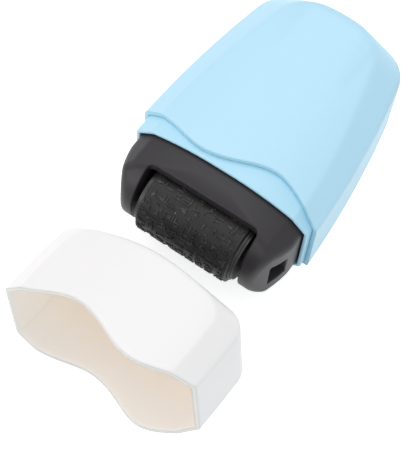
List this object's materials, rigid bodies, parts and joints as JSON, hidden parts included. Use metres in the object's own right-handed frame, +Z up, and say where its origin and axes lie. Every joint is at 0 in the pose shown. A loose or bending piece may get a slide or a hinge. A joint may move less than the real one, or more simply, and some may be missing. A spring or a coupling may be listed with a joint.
{
  "type": "privacy roller stamp",
  "caption": "Hand-held privacy roller stamp: hollow moulded body, dark roller frame with a patterned rubber roller fed by an ink roller, and a pull-off cap lying beside it.",
  "frame": {"origin": "centre of the whole set's box, on the surface that the body and the cap lie on", "axes": "+Y from the roller to the tail, +X across the width, +Z up through the thickness"},
  "size_m": [0.0516, 0.1043, 0.0335],
  "materials": {
    "shell_blue": "satin moulded",
    "sleeve_blue": "satin moulded",
    "cap_white": "satin moulded",
    "frame_dark": "satin moulded",
    "cradle_dark": "matte moulded",
    "bearing": "matte moulded",
    "core_black": "matte moulded",
    "ring_black": "satin moulded",
    "stamp_rubber": "inked",
    "ink_felt": "ink soaked felt",
    "steel": "drawn"
  },
  "bodies": {
    "housing": {"outer_shell": "shell_blue", "inner_sleeve": "sleeve_blue", "roller_frame": "frame_dark", "ink_cradle": "cradle_dark", "bearing_left": "bearing", "bearing_right": "bearing", "stamp_axle": "steel", "axle_clips": "steel", "ink_axle": "steel"},
    "stamp_roller": {"stamp_core": "core_black", "stamp_rubber": "stamp_rubber", "end_ring_left": "ring_black", "end_ring_right": "ring_black"},
    "ink_roller": {"ink_core": "core_black", "ink_felt": "ink_felt", "ink_disc_left": "ring_black", "ink_disc_right": "ring_black"},
    "cap": {"cap": "cap_white"}
  },
  "joints": [
    {"name": "stamp_roller_spin", "type": "hinge", "parent": "housing", "child": "stamp_roller", "pos_m": [-0.00191, -0.00768, 0.0147], "axis": [1, 0, 0], "continuous": true},
    {"name": "ink_roller_spin", "type": "hinge", "parent": "housing", "child": "ink_roller", "pos_m": [-0.00191, 0.00747, 0.0147], "axis": [1, 0, 0], "continuous": true},
    {"name": "cap_slide", "type": "slide", "parent": "housing", "child": "cap", "axis": [0, -1, 0], "range_m": [0, 0.03]}
  ],
  "couplings": [
    {"joint": "ink_roller_spin", "follows": "stamp_roller_spin", "ratio": -1.3438}
  ]
}
